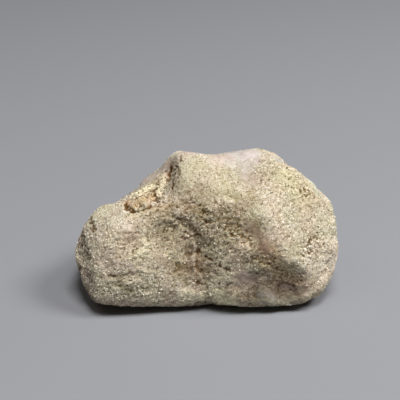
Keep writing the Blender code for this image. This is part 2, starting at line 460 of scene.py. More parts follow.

# %% [markdown]
# ## Bare opal
# Where the rind is worn through, opal shows: milky and faintly pink on top, greyer in the hollows.
# The greenish, bluish and pink spots along its edges are painted glints: the opal's play of colour,
# which shifts as the stone turns, fixed in place. Each patch has its marks, a half-width in
# millimetres, a colour, and how bare it is, from 0 for rind to 1 for clean opal.
# It is a finish on the same skin, not a second stone under it, because rind and opal have grown
# into each other.

# %% Lay out the bare patches
EDGE = 0.9  # mm inside and outside the half-width, over which opal gives way to rind
PATCH_RAGGEDNESS = 0.6
PATCH_FRAYING = 0.5
PATCHES = {
    "top_window": ([(233, 156), (244, 155), (251, 153)], 1.7, "#c4bfba", 0.95),
    "window_crown": ([(-2, 5, 24), (3, 6, 24), (6.4, 5, 24)], 2.6, "#c0b9b3", 0.92),
    "window_floor": ([(239, 163), (249, 164), (245, 171)], 1.3, "#bfb5ac", 0.85),
    "window_tail": ([(249, 175), (252, 182)], 1.0, "#b4a698", 0.5),
    "window_left": ([(216, 158), (228, 162)], 1.5, "#cfc3b8", 0.55),
    "top_edge": ([(176, 153), (190, 151), (206, 153), (224, 155)], 1.2, "#c2b2a6", 0.7),
    # painted light: bare opal on a corner that faces away from the brighter lamps, made nearly white
    "top_corner_painted_light": ([(167, 167), (170, 161), (173, 157)], 1.3, "#fff1de", 0.8),
    "back_knob": ([(143, 182), (152, 176), (161, 171)], 1.5, "#b2a59c", 0.85),
    "ridge_streak": ([(251, 226), (257, 231), (263, 240), (266, 250)], 1.1, "#937c69", 0.85),
    "grey_oval": ([(243, 277), (250, 279)], 1.35, "#94857a", 0.75),
    "hollow_floor": ([(281, 286), (288, 285), (294, 287)], 0.9, "#a1958b", 0.65),
    "heel_skin": ([(297, 289), (304, 290), (309, 289)], 0.9, "#a3968b", 0.45),
    "foot_pebble": ([(262, 295), (268, 294), (273, 295)], 0.8, "#a19b92", 0.65),
    "foot_skin": ([(264, 301), (280, 299), (297, 301)], 1.2, "#68635b", 0.5),
    "lobe_dent": ([(131, 238), (134, 241)], 1.3, "#b59d89", 0.55),
    "green_notch": ([(200, 300), (209, 300)], 0.8, "#a8ab8b", 0.3),
    # painted glints: the opal's play of colour, fixed in place on these four rims
    "blue_rim_painted_glint": ([(279, 157), (285, 162)], 0.6, "#b9bfbd", 0.75),
    "pink_rim_painted_glint": ([(289, 165), (297, 171)], 0.8, "#d5bcb0", 0.65),
    "green_rim_painted_glint": ([(312, 181), (320, 189)], 0.8, "#bec8b2", 0.6),
    "right_rim_painted_glint": ([(337, 258), (336, 268)], 0.5, "#dde0cf", 0.45),
    "back_window": ([(-2, 9, 20), (6, 10, 18), (10, 10, 15)], 2.2, "#b9a99f", 0.9),
    "back_window_foot": ([(9, 11, 13), (12, 11, 11)], 1.8, "#a99a8c", 0.8),
    "back_vein": ([(-19, 5, 12), (-13, 8, 11), (-6, 11, 9), (0, 12, 5)], 0.9, "#a7a094", 0.8),
    "back_green": ([(-13, 9, 12), (-9, 11, 10)], 1.0, "#a3b3a0", 0.6),
    "right_window": ([(19, 6, 13), (21, 3, 10)], 1.7, "#bfb0a2", 0.8),
    "left_window": ([(-22, 4, 10), (-21, 5, 7)], 1.5, "#b3a091", 0.8),
    "sole_skin": ([(-4, -2, 0), (8, 1, 0)], 3.0, "#9a8d7c", 0.6),
}
bare = np.zeros(len(smooth_points))
for marks, half_width, hex_colour, bareness in PATCHES.values():
    away = distance_to(marks) + ragged * PATCH_RAGGEDNESS + frayed * PATCH_FRAYING
    weight = bareness * fade(away - half_width + EDGE, 2 * EDGE)
    wash(weight, hex_colour)
    bare = np.maximum(bare, weight)
print(len(PATCHES), "patches,", round(100 * bare.mean(), 1), "% of the skin is bare")

# %% [markdown]
# ## Lumps
# Some places stand out: the yellowish column beside the flutes, the orange lump on the ledge, and
# the lip below it. They could be modelled as stones of their own, but here they are part of the
# skin, so it is swollen a little and stained. Each has its marks, a half-width and a height in
# millimetres, the colour of its stain and how strong that is.

# %% Raise the lumps
LUMP_RAGGEDNESS = 0.6
POCKET_RAGGEDNESS = 0.35
SWELLINGS = {
    "column": ([(164, 176), (162, 184), (160, 196)], 1.0, 0.3, "#fdf0d0", 0.95),
    "orange_lump": ([(134, 205), (141, 200), (147, 202), (153, 196)], 1.2, 0.4, "#a98b60", 0.8),
    "lump_crown": ([(130, 197), (137, 193), (145, 189), (154, 186)], 0.9, 0.3, "#e4dab8", 0.8),
    "lip": ([(128, 217), (145, 212), (162, 206)], 0.8, 0.25, "#c5b18c", 0.5),
    # painted light: a low boss, raised a little and lightened as a whole
    "raised_boss_painted_light": ([(138, 252), (144, 247)], 1.6, 0.3, "#e8d9b6", 0.35),
    "curl_rim": (
        [(168, 220), (180, 226), (188, 231), (192, 239), (194, 248), (194, 270)],
        0.5, 0.2, "#d6c3a3", 0.5,
    ),
    "inner_boss": ([(222, 238), (238, 240)], 1.4, 0.25, "#8a7c5c", 0.5),
    # painted light: two knuckles, raised a little and each lightened as a whole
    "knuckle_painted_light": ([(211, 207), (217, 208)], 0.9, 0.2, "#d4c9b0", 0.55),
    "bright_knuckle_right": ([(223, 200), (229, 202)], 0.9, 0.2, "#d4c9b0", 0.55),
}


def carve(marks, half_width, deep, hex_colour, stain, raggedness=POCKET_RAGGEDNESS):
    """Deepens and stains the skin along some marks."""
    away = distance_to(marks) + (ragged + frayed) * raggedness
    cut = fade(away, half_width * SPREAD)
    depth[:] += deep * cut
    wash(stain * cut, hex_colour)


for marks, half_width, rise, hex_colour, stain in SWELLINGS.values():
    carve(marks, half_width, -rise, hex_colour, stain, LUMP_RAGGEDNESS)
print("lumps:", ", ".join(SWELLINGS))

# %% [markdown]
# ## Pockets, grooves and flutes
# A pocket is where something softer than the rind has dropped out or dissolved. Iron-rich water
# stands in it and dries, so the deeper it is, the browner. Cutting them with booleans would leave
# sharp rims, so the skin is sunk instead. Each has its marks, a half-width and a depth in
# millimetres, the colour of its stain and how strong that is, and, where it isn't the usual one,
# the raggedness of its edge.

# %% Carve the pockets and grooves
CARVINGS = {
    "iron_pocket": ([(171.5, 169), (168, 173), (170, 175)], 0.42, 0.22, "#915630", 1.0),
    "ledge_cavity": ([(124, 203), (128, 208), (134, 210)], 0.5, 0.75, "#6b4a22", 1.0),
    "cavity_line": ([(134, 212), (142, 209.5), (150, 206)], 0.18, 0.25, "#6b5028", 0.8),
    "lump_rust": ([(126, 201), (131, 205), (137, 207)], 0.6, 0.1, "#b38550", 0.6),
    "lump_rust_high": ([(149, 195), (152, 197)], 0.35, 0.1, "#9c7c50", 0.6),
    "ledge_crease": ([(154, 190), (155, 196), (156.5, 201)], 0.17, 0.4, "#4b3417", 0.9),
    "lump_specks": ([(139, 203), (140, 206)], 0.2, 0.25, "#a9713f", 0.7),
    "centre_pit": ([(202, 209.5), (204.5, 212), (207.5, 215)], 0.15, 0.35, "#43361f", 0.9),
    "flute_right": ([(180.5, 155), (180, 160)], 0.14, 0.2, "#6f6350", 0.6),
    "flute_middle": ([(177, 163), (178.5, 172), (178, 182)], 0.16, 0.12, "#7a6d54", 0.6),
    "flute_left": ([(174.5, 167), (173.5, 172), (172, 180), (170.5, 189)], 0.3, 0.3, "#6a5636", 0.7, 0.6),
    "curl_foot": ([(180, 268), (190, 270), (200, 269)], 0.7, 0.15, "#66543c", 0.55),
    "lip_pit": ([(177, 208), (178, 208)], 0.22, 0.35, "#43361f", 0.9),
    "curl": (
        [(168, 216), (182, 221), (193, 229), (199, 241), (200, 253), (197, 266)],
        0.8, 0.1, "#7a6743", 0.35,
    ),
    "valley_crease": ([(197, 240), (198, 252), (196, 266), (197, 284)], 0.2, 0.12, "#7a5a3c", 0.4),
    "low_slit": ([(218, 265), (224, 267), (228, 268), (233, 267)], 0.15, 0.2, "#4f4320", 0.8),
    "curl_slit": ([(206, 258), (211, 260), (215, 259)], 0.14, 0.15, "#5a4a2c", 0.7),
    "foot_arc": ([(196, 282), (202, 284)], 0.15, 0.15, "#4f4028", 0.7),
    "boss_pit": ([(222, 240), (225, 240)], 0.2, 0.2, "#4f452c", 0.7),
    "boss_line": ([(232, 234), (239, 237), (245, 239)], 0.15, 0.15, "#5a4f36", 0.6),
    "low_slit_right": ([(245, 263), (252, 258)], 0.25, 0.12, "#5b4c33", 0.4),
    "hollow_pit": ([(279, 284), (286, 282), (294, 284)], 0.2, 0.12, "#6a5846", 0.45),
    "hollow_ring": (
        [(291, 286), (295, 286), (297, 289), (294, 291), (291, 290)],
        0.13, 0.1, "#6a5846", 0.5,
    ),
    "right_slit_high": ([(310, 241), (316, 236)], 0.15, 0.14, "#6d6742", 0.75),
    "right_slit_middle": ([(309, 245), (313, 243)], 0.15, 0.12, "#6d6742", 0.6),
    "right_slit_low": ([(308, 254), (317, 249)], 0.22, 0.12, "#7d7650", 0.6),
    "ring_left": ([(301, 190), (301, 194), (304, 197)], 0.11, 0.15, "#8a7848", 0.7),
    "ring_right": ([(305, 190), (309, 190), (310, 194), (307, 196)], 0.12, 0.15, "#8a7848", 0.7),
    "ring_dot": ([(315, 196), (314, 196)], 0.14, 0.2, "#7d6a3a", 0.8),
    "shoulder_dots": ([(287, 176), (291, 180)], 0.15, 0.15, "#8a7848", 0.7),
    "shoulder_notch": ([(90, 217), (92, 223), (93, 230)], 0.5, 0.25, "#6b573c", 0.8, 0.8),
    "left_rim_high": ([(82, 233), (84, 246), (88, 258)], 0.9, 0.15, "#6b5a42", 0.6),
    "left_rim_low": ([(82, 268), (84, 280)], 0.9, 0.1, "#6b5a42", 0.5),
    "lobe_line": ([(98, 277), (118, 277), (140, 273)], 0.4, 0.12, "#5d503a", 0.3),
    # a shallow fold, with its shadow painted along it
    "lobe_fold_painted_shadow": ([(119, 232), (128, 233), (138, 233)], 0.2, 0.12, "#94826a", 0.5),
    "back_pocket": ([(3, 12, 15), (5, 12, 13)], 0.8, 0.22, "#93795a", 0.6, 0.6),
    "back_pocket_low": ([(-14, 9, 6), (-12, 10, 5)], 0.7, 0.2, "#93795a", 0.6, 0.6),
    "back_crack": ([(-8, 9, 20), (-5, 11, 16), (-7, 12, 12), (-4, 12, 8)], 0.25, 0.15, "#7b664a", 0.6, 0.5),
    "right_pocket": ([(22, -1, 8), (22, 1, 6)], 0.6, 0.2, "#93795a", 0.6, 0.6),
    "left_pocket": ([(-22, 0, 6), (-22, 2, 5)], 0.6, 0.22, "#86694a", 0.6, 0.6),
    "lobe_line_low": ([(118, 284), (130, 290)], 0.5, 0.1, "#6d6049", 0.4),
}
for carving in CARVINGS.values():
    carve(*carving)
print("deepest cut:", round(depth.max(), 2), "mm")

# %% [markdown]
# ## Coarse and smooth rind
# The rind is coarser in some places than in others, and most of all in the hollows, which nothing
# has rubbed. Each such place has its marks, a half-width in millimetres, and how much coarser than
# usual it is, or less than 0 where it is smoother. Relief and shades both read this further down,
# so that what looks coarse is coarse.

# %% Lay out the coarse places
SMOOTHEST = -0.6
COARSEST = 1.2
COARSE = {
    "middle": ([(190, 215), (215, 225), (245, 232)], 4.0, 0.9),
    "middle_low": ([(245, 255), (215, 262), (200, 285)], 3.5, 0.25),
    "hollow": ([(270, 262), (285, 275)], 3.0, 0.8),
    "ledge": ([(130, 205), (150, 195)], 2.5, 0.7),
    "smooth_column": ([(165, 178), (161, 195)], 1.1, -0.8),
    "smooth_brow": ([(192, 170), (222, 182)], 5.0, -0.5),
    "lobe": ([(105, 240), (130, 262), (165, 245)], 6.0, 0.25),
    "smooth_patch": ([(118, 218), (128, 228)], 1.6, -0.8),
    "right_slits": ([(306, 243), (318, 234)], 1.3, 1.0),
    "right_slits_low": ([(306, 255), (318, 248)], 1.3, 1.0),
    "ring": ([(304, 193)], 1.2, 0.5),
    "left_rim": ([(82, 236), (84, 252), (86, 272)], 1.8, 1.0),
    "back_middle": ([(-8, 11, 14), (4, 12, 9)], 5.0, 0.9),
    "right_end": ([(22, 0, 9)], 4.0, 0.6),
    "left_end": ([(-22, 2, 8)], 4.0, 0.6),
    "lobe_lines": ([(100, 278), (118, 280), (138, 290)], 1.6, 0.4),
}
coarse = np.zeros(len(smooth_points))
for marks, half_width, strength in COARSE.values():
    coarse += strength * fade(distance_to(marks) + ragged, half_width * SPREAD)
coarse = np.clip(coarse, SMOOTHEST, COARSEST)
print(round(100 * (coarse > 0).mean()), "% of the skin is coarser than usual")

# %% [markdown]
# The depths now move the skin in or out along its normals, once and for all. What was painted is
# kept on the mesh as named values, which trees and materials can both read.

# %% Move the skin and keep what was painted
moved = smooth_points - smooth_normals * depth[:, None] * MM
nodule.data.vertices.foreach_set("co", moved.ravel())
nodule.data.update()


def store(mesh, name, values, kind="FLOAT"):
    """Keeps one value for each point of the mesh, under a name."""
    layer = mesh.attributes.new(name, kind, "POINT")
    layer.data.foreach_set("color" if kind == "FLOAT_COLOR" else "value", np.ravel(values))


store(nodule.data, "bare", bare)
store(nodule.data, "coarse", coarse)
store(nodule.data, "paint", np.column_stack([paint, cover]), "FLOAT_COLOR")
print("skin moved by", depth.min().round(2), "to", depth.max().round(2), "mm")

# %% [markdown]
# ## Relief
# The rind is sand: lumps of it 0.4 mm tall and up to 0.7 mm wide, with gaps between them, and a pit
# wherever one has dropped out. Crevices run between clumps of lumps, and low waves under them all.
# These repeat all over the skin, so a Geometry Nodes tree pushes each of its points in or out. Bump
# in the material would be quicker, but it would leave the outline smooth and the mesh itself plain.
#
# One function adds a node to any tree, sets it, links it, and gives back what comes out of it, so
# that a tree reads as a list of steps from top to bottom.

# %% Add a node to a tree


def add_node(tree, kind, inputs=(), output=0, stops=(), **settings):
    """Adds a node and gives back one of its outputs, or all of them where output is None.

    The inputs are a list in order, or a dict by name or place. Each is a value, or a socket to
    link from. The stops are a colour ramp's, each a place along it and a hex colour.
    """
    node = tree.nodes.new(kind)
    for name, value in settings.items():
        setattr(node, name, value)
    pairs = inputs.items() if isinstance(inputs, dict) else enumerate(inputs)
    for place, value in pairs:
        if isinstance(value, bpy.types.NodeSocket):
            tree.links.new(value, node.inputs[place])
        else:
            node.inputs[place].default_value = value
    while stops and len(node.color_ramp.elements) < len(stops):
        node.color_ramp.elements.new(1.0)
    for number, (place, hex_colour) in enumerate(stops):
        node.color_ramp.elements[number].position = place
        node.color_ramp.elements[number].color = linear(hex_colour)
    return node.outputs if output is None else node.outputs[output]


shader_kinds = [name for name in dir(bpy.types) if name.startswith("ShaderNode")]
print("there are", len(shader_kinds), "kinds of shader node")

# %% [markdown]
# A tree starts from its named inputs. The modifier that it is put on sets them by identifier,
# because names can repeat. It ends by turning all that it holds into plain mesh in one material:
# a piece has to be plain mesh to be of use outside Blender.

# %% Start and end a tree, and put it on an object


def new_tree(name, **inputs):
    """An empty tree, with named inputs of the kinds given."""
    tree = bpy.data.node_groups.new(name, "GeometryNodeTree")
    tree.interface.new_socket("Geometry", in_out="INPUT", socket_type="NodeSocketGeometry")
    tree.interface.new_socket("Geometry", in_out="OUTPUT", socket_type="NodeSocketGeometry")
    for key, kind in inputs.items():
        title = key.replace("_", " ").title()
        tree.interface.new_socket(title, in_out="INPUT", socket_type="NodeSocket" + kind)
    return tree


def end_tree(tree, shape, finish):
    """Makes plain mesh of what a tree holds, gives it a material and hands it out."""
    real = add_node(tree, "GeometryNodeRealizeInstances", [shape])
    done = {"Geometry": real, "Material": finish}
    done = add_node(tree, "GeometryNodeSetMaterial", done)
    add_node(tree, "NodeGroupOutput", [done], output=None)


def add_tree(thing, tree, **values):
    """Puts a tree on an object and sets its named inputs by their identifiers."""
    modifier = thing.modifiers.new(tree.name, "NODES")
    modifier.node_group = tree
    for socket in tree.interface.items_tree:
        key = socket.name.lower().replace(" ", "_")
        if socket.in_out == "INPUT" and key in values:
            modifier[socket.identifier] = values[key]


print("trees so far:", len(bpy.data.node_groups))

# %% [markdown]
# Lumps and pits are cells of a Voronoi texture, a pattern in space: fine cells that swell into
# lumps, and coarser ones, of which some sink into pits. Noise would give rounder, vaguer bumps, but
# sand grains have edges.

# %% Lumps and pits
MATH = "ShaderNodeMath"
VECTOR_MATH = "ShaderNodeVectorMath"
MAP_RANGE = "ShaderNodeMapRange"
VORONOI = "ShaderNodeTexVoronoi"
BEDDING = (0.75, 0.9, 1.2)  # grains settled on their flat sides, so patterns are wider than tall
LUMP_RIM = 0.55  # a lump meets the skin this far from its middle, in cells
PITLESS = 0.3  # the share of the coarser cells that have no pit
WIDEST_PIT = 0.32  # the radius of the widest pit, in cells
PIT_FLOOR = 0.4  # a pit is flat out to this share of its radius
COARSER_PITS = 0.2  # how much wider pits are where the rind is coarse


def bedded(tree, given, kind, spacing, output=0, extra=(), **settings):
    """A pattern with the spacing given by name, wider than tall, that the seed changes."""
    place = add_node(tree, "GeometryNodeInputPosition")
    place = add_node(tree, VECTOR_MATH, [place, BEDDING], operation="MULTIPLY")
    scale = add_node(tree, MATH, [1.0, given[spacing]], operation="DIVIDE")
    inputs = {"Vector": place, "W": given["Seed"], "Scale": scale, **dict(extra)}
    return add_node(tree, kind, inputs, output, **settings)


def lumps(tree, given):
    """How far lumps of sand stand up."""
    away = bedded(tree, given, VORONOI, "Grain Width", "Distance", voronoi_dimensions="4D")
    rise = add_node(tree, MATH, [LUMP_RIM, away], operation="SUBTRACT")
    return add_node(tree, MATH, [rise, given["Grain Height"]], operation="MULTIPLY")


def pits(tree, given, coarse):
    """1 on the floor of a pit and 0 outside it."""
    cell = bedded(tree, given, VORONOI, "Pit Spacing", None, voronoi_dimensions="4D")
    choice = add_node(tree, "FunctionNodeSeparateColor", {"Color": cell["Color"]})
    size = {"Value": choice, "From Min": PITLESS, "From Max": 1.0, "To Min": 0.0, "To Max": WIDEST_PIT}
    size = add_node(tree, MAP_RANGE, size)
    wider = add_node(tree, MATH, [coarse, COARSER_PITS, 1.0], operation="MULTIPLY_ADD")
    size = add_node(tree, MATH, [size, wider], operation="MULTIPLY")
    flat = add_node(tree, MATH, [size, PIT_FLOOR], operation="MULTIPLY")
    inside = {"Value": cell["Distance"], "From Min": size, "From Max": flat}
    return add_node(tree, MAP_RANGE, inside, interpolation_type="SMOOTHSTEP")


print("the widest pit is", round(2 * WIDEST_PIT, 2), "of the pit spacing across")

# %% [markdown]
# Ridged noise gives the crevices, because it has sharp branching lines as cracks do. They are
# deeper where the rind is coarse. Plain noise gives the low waves.

# %% Crevices and waves
NOISE = "ShaderNodeTexNoise"
RIDGES = {"Detail": 2.0, "Roughness": 0.5, "Offset": 1.0, "Gain": 1.0, "Distortion": 0.7}
CREVICE_EDGE = 0.9  # the ridged noise is this strong where a crevice starts
CREVICE_BOTTOM = 1.5  # and this strong where it is deepest
COARSER_CREVICES = 4.0  # how much deeper crevices are where the rind is coarse
WAVES = {"Detail": 4.0, "Roughness": 0.85}
WAVE_LEVEL = 0.5  # the noise's middle value, where a wave is level with the skin


def crevices(tree, given, coarse):
    """How deep the crevices between clumps are."""
    ridge = bedded(
        tree, given, NOISE, "Crevice Spacing", extra=RIDGES, noise_dimensions="4D",
        noise_type="RIDGED_MULTIFRACTAL", normalize=False,
    )
    cut = {"Value": ridge, "From Min": CREVICE_EDGE, "From Max": CREVICE_BOTTOM}
    cut = add_node(tree, MAP_RANGE, cut)
    deeper = add_node(tree, MATH, [coarse, COARSER_CREVICES, 1.0], operation="MULTIPLY_ADD")
    deeper = add_node(tree, MATH, [deeper, 0.0], operation="MAXIMUM")
    cut = add_node(tree, MATH, [cut, deeper], operation="MULTIPLY")
    return add_node(tree, MATH, [cut, given["Crevice Depth"]], operation="MULTIPLY")


def waves(tree, given):
    """How far the low waves stand up or sink."""
    wave = bedded(tree, given, NOISE, "Wave Width", extra=WAVES, noise_dimensions="4D")
    wave = add_node(tree, MATH, [wave, WAVE_LEVEL], operation="SUBTRACT")
    return add_node(tree, MATH, [wave, given["Wave Height"]], operation="MULTIPLY")


print("crevices: ridged noise over", CREVICE_EDGE)

# %% [markdown]
# Once the points have moved, the tree notes how far each stands above its surroundings, because
# dirt gathers in what is low and wears off what is high. A point's surroundings are where blurring
# the skin's shape would put it.

# %% Note how high each point stands
STORE = "GeometryNodeStoreNamedAttribute"
SURROUNDINGS = 10  # rounds of blurring


def note_heights(tree, given, shaped):
    """Keeps how far each point stands above its surroundings, in heights of a lump."""
    place = add_node(tree, "GeometryNodeInputPosition")
    around = {"Value": place, "Iterations": SURROUNDINGS, "Weight": 1.0}
    around = add_node(tree, "GeometryNodeBlurAttribute", around, data_type="FLOAT_VECTOR")
    above = add_node(tree, VECTOR_MATH, [place, around], operation="SUBTRACT")
    normal = add_node(tree, "GeometryNodeInputNormal")
    above = add_node(tree, VECTOR_MATH, [above, normal], "Value", operation="DOT_PRODUCT")
    high = add_node(tree, MATH, [above, given["Grain Height"]], operation="DIVIDE")
    kept = {"Geometry": shaped, "Name": "high", "Value": high}
    return add_node(tree, STORE, kept, data_type="FLOAT", domain="POINT")


print("surroundings reach about", round(CELL / MM * math.sqrt(SURROUNDINGS), 1), "mm away")

# %% [markdown]
# One tree adds the patterns up, one step after another, and moves the points along the skin's
# normal. It finishes them in the rind's material, which is painted further down.

# %% Build the relief tree
READ = "GeometryNodeInputNamedAttribute"
COARSER_RELIEF = 0.4  # how much higher the relief is where the rind is coarse
OPAL_RELIEF = 0.1  # the share of the relief that is left on bare opal


def relief_tree():
    """Lumps, pits, crevices and waves, pushed in or out along the skin's normal."""
    tree = new_tree(
        "sandy_relief", grain_width="Float", grain_height="Float", pit_spacing="Float", pit_depth="Float",
        crevice_spacing="Float", crevice_depth="Float", wave_width="Float", wave_height="Float",
        inset="Float", seed="Float", finish="Material",
    )
    given = add_node(tree, "NodeGroupInput", output=None)
    coarse = add_node(tree, READ, {"Name": "coarse"}, data_type="FLOAT")
    bare = add_node(tree, READ, {"Name": "bare"}, data_type="FLOAT")
    sandy = add_node(tree, MATH, [1.0, bare], operation="SUBTRACT")
    pitted = add_node(tree, MATH, [pits(tree, given, coarse), sandy], operation="MULTIPLY")
    sunk = add_node(tree, MATH, [pitted, given["Pit Depth"]], operation="MULTIPLY")
    coarser = add_node(tree, MATH, [coarse, COARSER_RELIEF, 1.0], operation="MULTIPLY_ADD")
    showing = add_node(tree, MATH, [sandy, 1 - OPAL_RELIEF, OPAL_RELIEF], operation="MULTIPLY_ADD")
    steps = [
        ("ADD", waves(tree, given)), ("SUBTRACT", crevices(tree, given, coarse)),
        ("MULTIPLY", coarser), ("MULTIPLY", showing), ("SUBTRACT", sunk), ("SUBTRACT", given["Inset"]),
    ]
    rise = lumps(tree, given)
    for operation, amount in steps:
        rise = add_node(tree, MATH, [rise, amount], operation=operation)
    normal = add_node(tree, "GeometryNodeInputNormal")
    push = add_node(tree, VECTOR_MATH, {0: normal, "Scale": rise}, operation="SCALE")
    kept = {"Geometry": given["Geometry"], "Name": "pit", "Value": pitted}
    kept = add_node(tree, STORE, kept, data_type="FLOAT", domain="POINT")
    shaped = add_node(tree, "GeometryNodeSetPosition", {"Geometry": kept, "Offset": push})
    end_tree(tree, note_heights(tree, given, shaped), given["Finish"])
    return tree


relief = relief_tree()
print("tree:", relief.name)

# %% [markdown]
# The sizes of the relief are those of the stone's own sand. The grains that will stand on the skin
# add to the stone's size, so an inset first takes the skin in by about as much.

# %% Apply the relief


def rest_on_floor(mesh):
    """Lifts what reaches below the floor, so that the stone rests flat on it."""
    places = points_of(mesh)
    places[:, 2] = np.maximum(places[:, 2], 0.0)
    mesh.vertices.foreach_set("co", places.ravel())
    mesh.update()


rind = bpy.data.materials.new("weathered_sandy_opal_rind")
add_tree(
    nodule, relief, grain_width=0.5 * MM, grain_height=0.14 * MM, pit_spacing=0.8 * MM,
    pit_depth=0.3 * MM, crevice_spacing=0.95 * MM, crevice_depth=0.03 * MM, wave_width=1.7 * MM,
    wave_height=0.68 * MM, inset=0.12 * MM, seed=7.0, finish=rind,
)
apply_modifiers(nodule)
rest_on_floor(nodule.data)
nodule.data.shade_smooth()
highs = np.empty(len(nodule.data.vertices))
nodule.data.attributes["high"].data.foreach_get("value", highs)
print("relief on", len(highs), "points; high is", np.percentile(highs, [2, 25, 50, 75, 98]).round(2))

# %% [markdown]
# ## Patterns and coats
# Every pattern in these materials has a real size. Its scale is one over that size, and it lies in
# the piece's own coordinates, so it stays put on the stone. Colours are laid over each other in
# coats, as a painter would lay them, each with a strength of its own. The nodes could be linked
# one by one, but a list of coats is easier to follow.

# %% Patterns of a real size, and coats of colour


def texture(tree, kind, size_mm, output, **inputs):
    """A pattern of a real size, in the piece's own coordinates."""
    place = add_node(tree, "ShaderNodeTexCoord", output="Object")
    return add_node(tree, kind, {"Vector": place, "Scale": 1 / (size_mm * MM), **inputs}, output)


def lay_coats(tree, colour, *coats):
    """Lays coats over a colour in turn, each as how strongly, what colour and how it blends."""
    for strength, coat, blend in coats:
        layers = {0: strength, 6: colour, 7: coat}  # a Mix node's sockets for colours
        colour = add_node(tree, "ShaderNodeMix", layers, 2, data_type="RGBA", blend_type=blend)
    return colour


print("a pattern 1 mm in size has a scale of", round(1 / MM))

# %% [markdown]
# ## Weathering
# Whatever lies on this stone has weathered with it, so one function weathers any colour. Stains
# tint it, but let the grains' own shades show through, and less so on bare opal, which has none.
# Where the rind is coarse, its grains differ more in shade. Opal is milkier in some places than in
# others. Brown dirt lies in what is low and in the pits, and what is high is worn pale. Last, a
# very faint tint, pinkish in some places and greenish in others, keeps it from looking dyed. It
# could all be painted by hand, but worked out from the relief it falls right on every lump.

# %% Weather a colour
ATTRIBUTE = "ShaderNodeAttribute"
COLOUR_RAMP = "ShaderNodeValToRGB"
MEAN_SAND = 0.45  # the linear brightness of average sand
BOLDNESS = 0.5  # how much more the grains differ in shade where the rind is coarse
SHOWING = 0.85  # how far the grains' own shades show through a stain
LESS_ON_OPAL = 0.7  # and how much less so on bare opal
MILK_CLOUD = 1.3  # mm, the spacing of milkier and clearer places in the opal
MILK = [(0.35, "#e9e2dc"), (0.5, "#f6f2ef"), (0.65, "#ffffff")]
DIRT = "#604110"
DIRT_HEIGHTS = {"From Min": 0.0, "From Max": -0.9, "To Max": 0.85}  # in heights of a lump
WORN = "#d9d0bf"
WORN_HEIGHTS = {"From Min": 0.1, "From Max": 1.2, "To Max": 0.5}
PIT_DIRT = "#4d360a"
PIT_DIRTINESS = 0.7
TINT_CLOUD = 4.0  # mm, the spacing of pinkish and greenish tints
TINTS = [(0.38, "#fef9f9"), (0.5, "#fefefe"), (0.62, "#fbfef9")]


def weathered(tree, colour):
    """A grain colour with stains, dirt in what is low and wear on what is high."""
    kept = {}
    for name in ("bare", "coarse", "high", "pit"):
        kept[name] = add_node(tree, ATTRIBUTE, output="Fac", attribute_name=name)
    paint = add_node(tree, ATTRIBUTE, output=None, attribute_name="paint")
    own = add_node(tree, "ShaderNodeRGBToBW", [colour])
    own = add_node(tree, MATH, [own, MEAN_SAND], operation="DIVIDE")
    bold = add_node(tree, MATH, [kept["coarse"], BOLDNESS], operation="MULTIPLY")
    bold = add_node(tree, MATH, [own, bold], operation="POWER")
    own = add_node(tree, MATH, [own, bold], operation="MULTIPLY")
    showing = add_node(tree, MATH, [kept["bare"], -LESS_ON_OPAL, SHOWING], operation="MULTIPLY_ADD")
    stained = lay_coats(tree, paint["Color"], (showing, own, "MULTIPLY"))
    milk = texture(tree, NOISE, MILK_CLOUD, "Fac", Detail=4.0, Distortion=0.6)
    milk = add_node(tree, COLOUR_RAMP, [milk], stops=MILK)
    dirty = add_node(tree, MAP_RANGE, {"Value": kept["high"], **DIRT_HEIGHTS})
    worn = add_node(tree, MAP_RANGE, {"Value": kept["high"], **WORN_HEIGHTS})
    pitted = add_node(tree, MATH, [kept["pit"], PIT_DIRTINESS], operation="MULTIPLY")
    tint = texture(tree, NOISE, TINT_CLOUD, "Fac", Detail=3.0)
    tint = add_node(tree, COLOUR_RAMP, [tint], stops=TINTS)
    return lay_coats(
        tree, colour, (1.0, bold, "MULTIPLY"), (paint["Alpha"], stained, "MIX"),
        (kept["bare"], milk, "MULTIPLY"), (dirty, linear(DIRT), "MIX"), (worn, linear(WORN), "MIX"),
        (pitted, linear(PIT_DIRT), "MIX"), (1.0, tint, "MULTIPLY"),
    )


print("dirt and wear:", DIRT, WORN, PIT_DIRT)

# %% [markdown]
# ## The rind's material
# Weathered sandy rind: quartz and feldspar grains in pale clay. It is matt, cream to beige, each
# grain its own shade, over finer grit. Its colour varies slowly over several millimetres too,
# because some of it is cleaner than the rest. Bare opal is the same material made smoother: a
# milky body with the soft gloss of opal, whose refractive index is 1.45. A material of its own
# would give it a hard edge, which it has nowhere on this stone.

# %% Paint the rind and the opal
OPAL_IOR = 1.45
SAND_GRAIN = 0.28  # mm
SAND = [(0.0, "#7b6843"), (0.3, "#a39476"), (0.62, "#c0b49e"), (0.85, "#d8d0bf"), (1.0, "#eeeae2")]
FINE_GRIT = 0.16  # mm, broken grains, drawn about as fine as can still be seen
GRIT = [(0.35, "#88764f"), (0.65, "#dfd8c9")]
GRIT_STRENGTH = 0.35
CLAY_CLOUD = 6.0  # mm, the spacing of cleaner and dirtier areas
CLAY = [(0.35, "#ac9e8b"), (0.5, "#c1b59d"), (0.65, "#cec2a3")]
CLAY_STRENGTH = 0.35
RIND_ROUGHNESS = 0.85
OPAL_POLISH = 0.5  # how much less rough bare opal is
RIND_SHINE = 0.35


